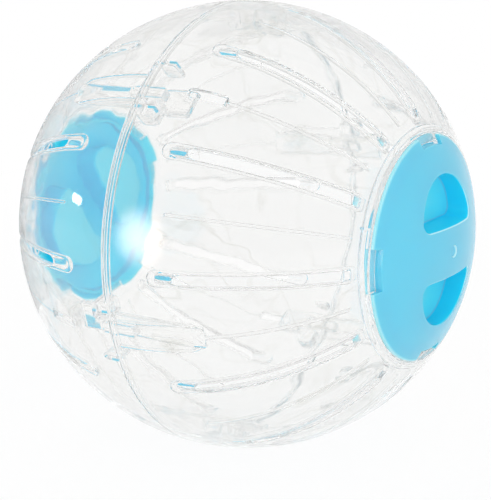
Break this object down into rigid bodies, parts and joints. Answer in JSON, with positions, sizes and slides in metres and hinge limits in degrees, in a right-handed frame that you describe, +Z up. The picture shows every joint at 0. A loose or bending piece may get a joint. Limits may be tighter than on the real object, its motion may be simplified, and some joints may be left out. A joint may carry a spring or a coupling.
{
  "type": "hamster exercise ball",
  "caption": "Clear plastic exercise ball for a small pet, split at a twist-latched seam, with a blue twist-lock door at each end and vent slots all round.",
  "frame": {"origin": "centre of the ball, on the axis through both doors at the seam plane", "axes": "+X along the axis out of the right door, +Z up, -Y towards the viewer's side of the picture"},
  "size_m": [0.1906, 0.185, 0.185],
  "materials": {
    "clear_shell": "clear moulded polystyrene, glossy",
    "blue_door": "opaque sky blue moulded plastic, glossy"
  },
  "bodies": {
    "shell_right": {"shell_right": "clear_shell"},
    "shell_left": {"shell_left": "clear_shell"},
    "door_right": {"door_right": "blue_door"},
    "door_left": {"door_left": "blue_door"}
  },
  "joints": [
    {"name": "seam_twist", "type": "hinge", "parent": "shell_right", "child": "shell_left", "pos_m": [0, 0, 0], "axis": [-1, 0, 0], "range_deg": [0, 4]},
    {"name": "door_right_twist", "type": "hinge", "parent": "shell_right", "child": "door_right", "pos_m": [0.0839, 0, 0], "axis": [1, 0, 0], "range_deg": [-8, 57.5]},
    {"name": "door_left_twist", "type": "hinge", "parent": "shell_left", "child": "door_left", "pos_m": [-0.0839, 0, 0], "axis": [-1, 0, 0], "range_deg": [-8, 57.5]}
  ]
}
